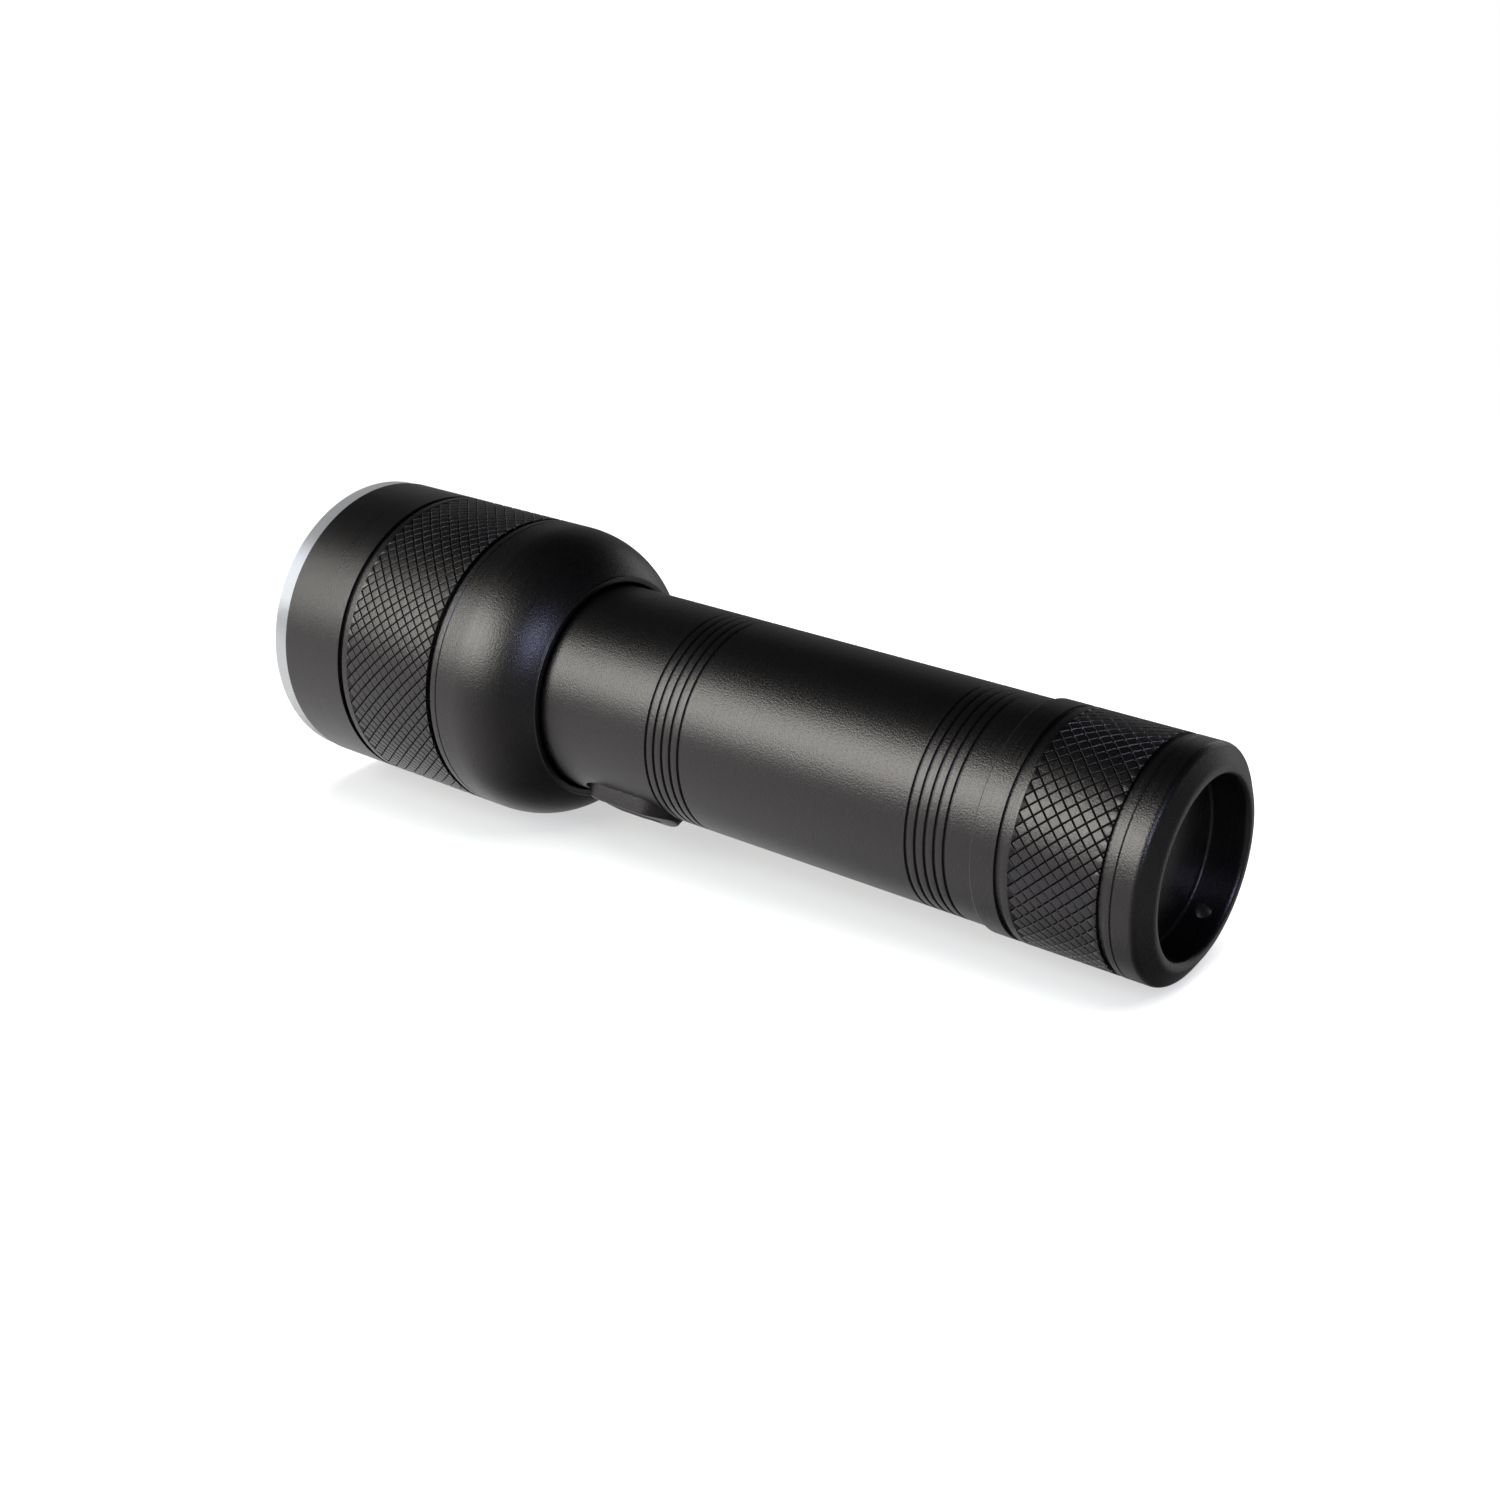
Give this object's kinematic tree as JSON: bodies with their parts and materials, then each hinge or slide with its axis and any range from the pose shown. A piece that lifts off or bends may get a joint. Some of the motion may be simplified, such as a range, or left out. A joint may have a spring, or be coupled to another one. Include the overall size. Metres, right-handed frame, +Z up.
{
  "type": "tactical flashlight",
  "caption": "Black aluminium hand torch with a sliding-focus head, side switch, ring-grooved barrel and knurled screw-on tail cap.",
  "frame": {"origin": "on the torch's axis, half way along its overall length with the head slid fully back", "axes": "+X along the torch's axis towards the tail, lens facing -X; +Z up with the torch lying level; the side switch points to about -0.57 Y, -0.82 Z"},
  "size_m": [0.1336, 0.0404, 0.0404],
  "materials": {
    "black_anodised": "satin anodised",
    "bare_aluminium": "machined",
    "lens_glass": "polished",
    "seal_rubber": "matt",
    "button_rubber": "matt",
    "circuit_board": "solder mask",
    "led_phosphor": "clear over phosphor",
    "white_plastic": "matt",
    "wire_sleeve": "silicone sleeve",
    "black_plastic": "moulded",
    "spring_steel": "plated wire",
    "plated_contact": "nickel plated",
    "cell_jacket": "printed film, left plain"
  },
  "bodies": {
    "barrel": {"light_engine": "bare_aluminium", "focus_ring": "seal_rubber", "led_board": "circuit_board", "led_emitter": "led_phosphor", "led_holder": "white_plastic", "led_wires": "wire_sleeve", "barrel": "black_anodised", "tail_seal": "seal_rubber", "switch_gasket": "seal_rubber", "switch_body": "black_anodised", "tact_switch": "black_plastic", "switch_board": "circuit_board", "switch_insert": "black_plastic", "driver_board": "circuit_board", "driver_spring": "spring_steel", "battery_carrier": "black_plastic", "carrier_front_contact": "plated_contact", "carrier_rear_contact": "plated_contact", "battery_cell_1": "cell_jacket", "battery_cell_2": "cell_jacket", "battery_cell_3": "cell_jacket", "cell_contacts": "plated_contact", "cell_springs": "spring_steel"},
    "head": {"head_sleeve": "black_anodised", "bezel_ring": "bare_aluminium", "lens": "lens_glass", "lens_seal": "seal_rubber"},
    "button": {"switch_button": "button_rubber", "tact_plunger": "black_plastic"},
    "tail_spring": {"tail_spring": "spring_steel"},
    "tail_cap": {"tail_cap": "black_anodised", "tail_contact_plate": "circuit_board", "tail_contact_ring": "bare_aluminium"}
  },
  "joints": [
    {"name": "head_zoom", "type": "slide", "parent": "barrel", "child": "head", "axis": [-1, 0, 0], "range_m": [0, 0.01]},
    {"name": "switch_press", "type": "slide", "parent": "barrel", "child": "button", "axis": [0, 0.5678, 0.8231], "range_m": [0, 0.0007], "stiffness_N_per_m": 2000},
    {"name": "tail_cap_travel", "type": "slide", "parent": "barrel", "child": "tail_spring", "axis": [1, 0, 0], "range_m": [0, 0.0045]},
    {"name": "tail_cap_turn", "type": "hinge", "parent": "tail_spring", "child": "tail_cap", "pos_m": [0.0532, 0, 0], "axis": [1, 0, 0], "range_deg": [0, 1080]}
  ],
  "couplings": [
    {"joint": "tail_cap_travel", "follows": "tail_cap_turn", "m_per_rad": 0.00023873}
  ]
}
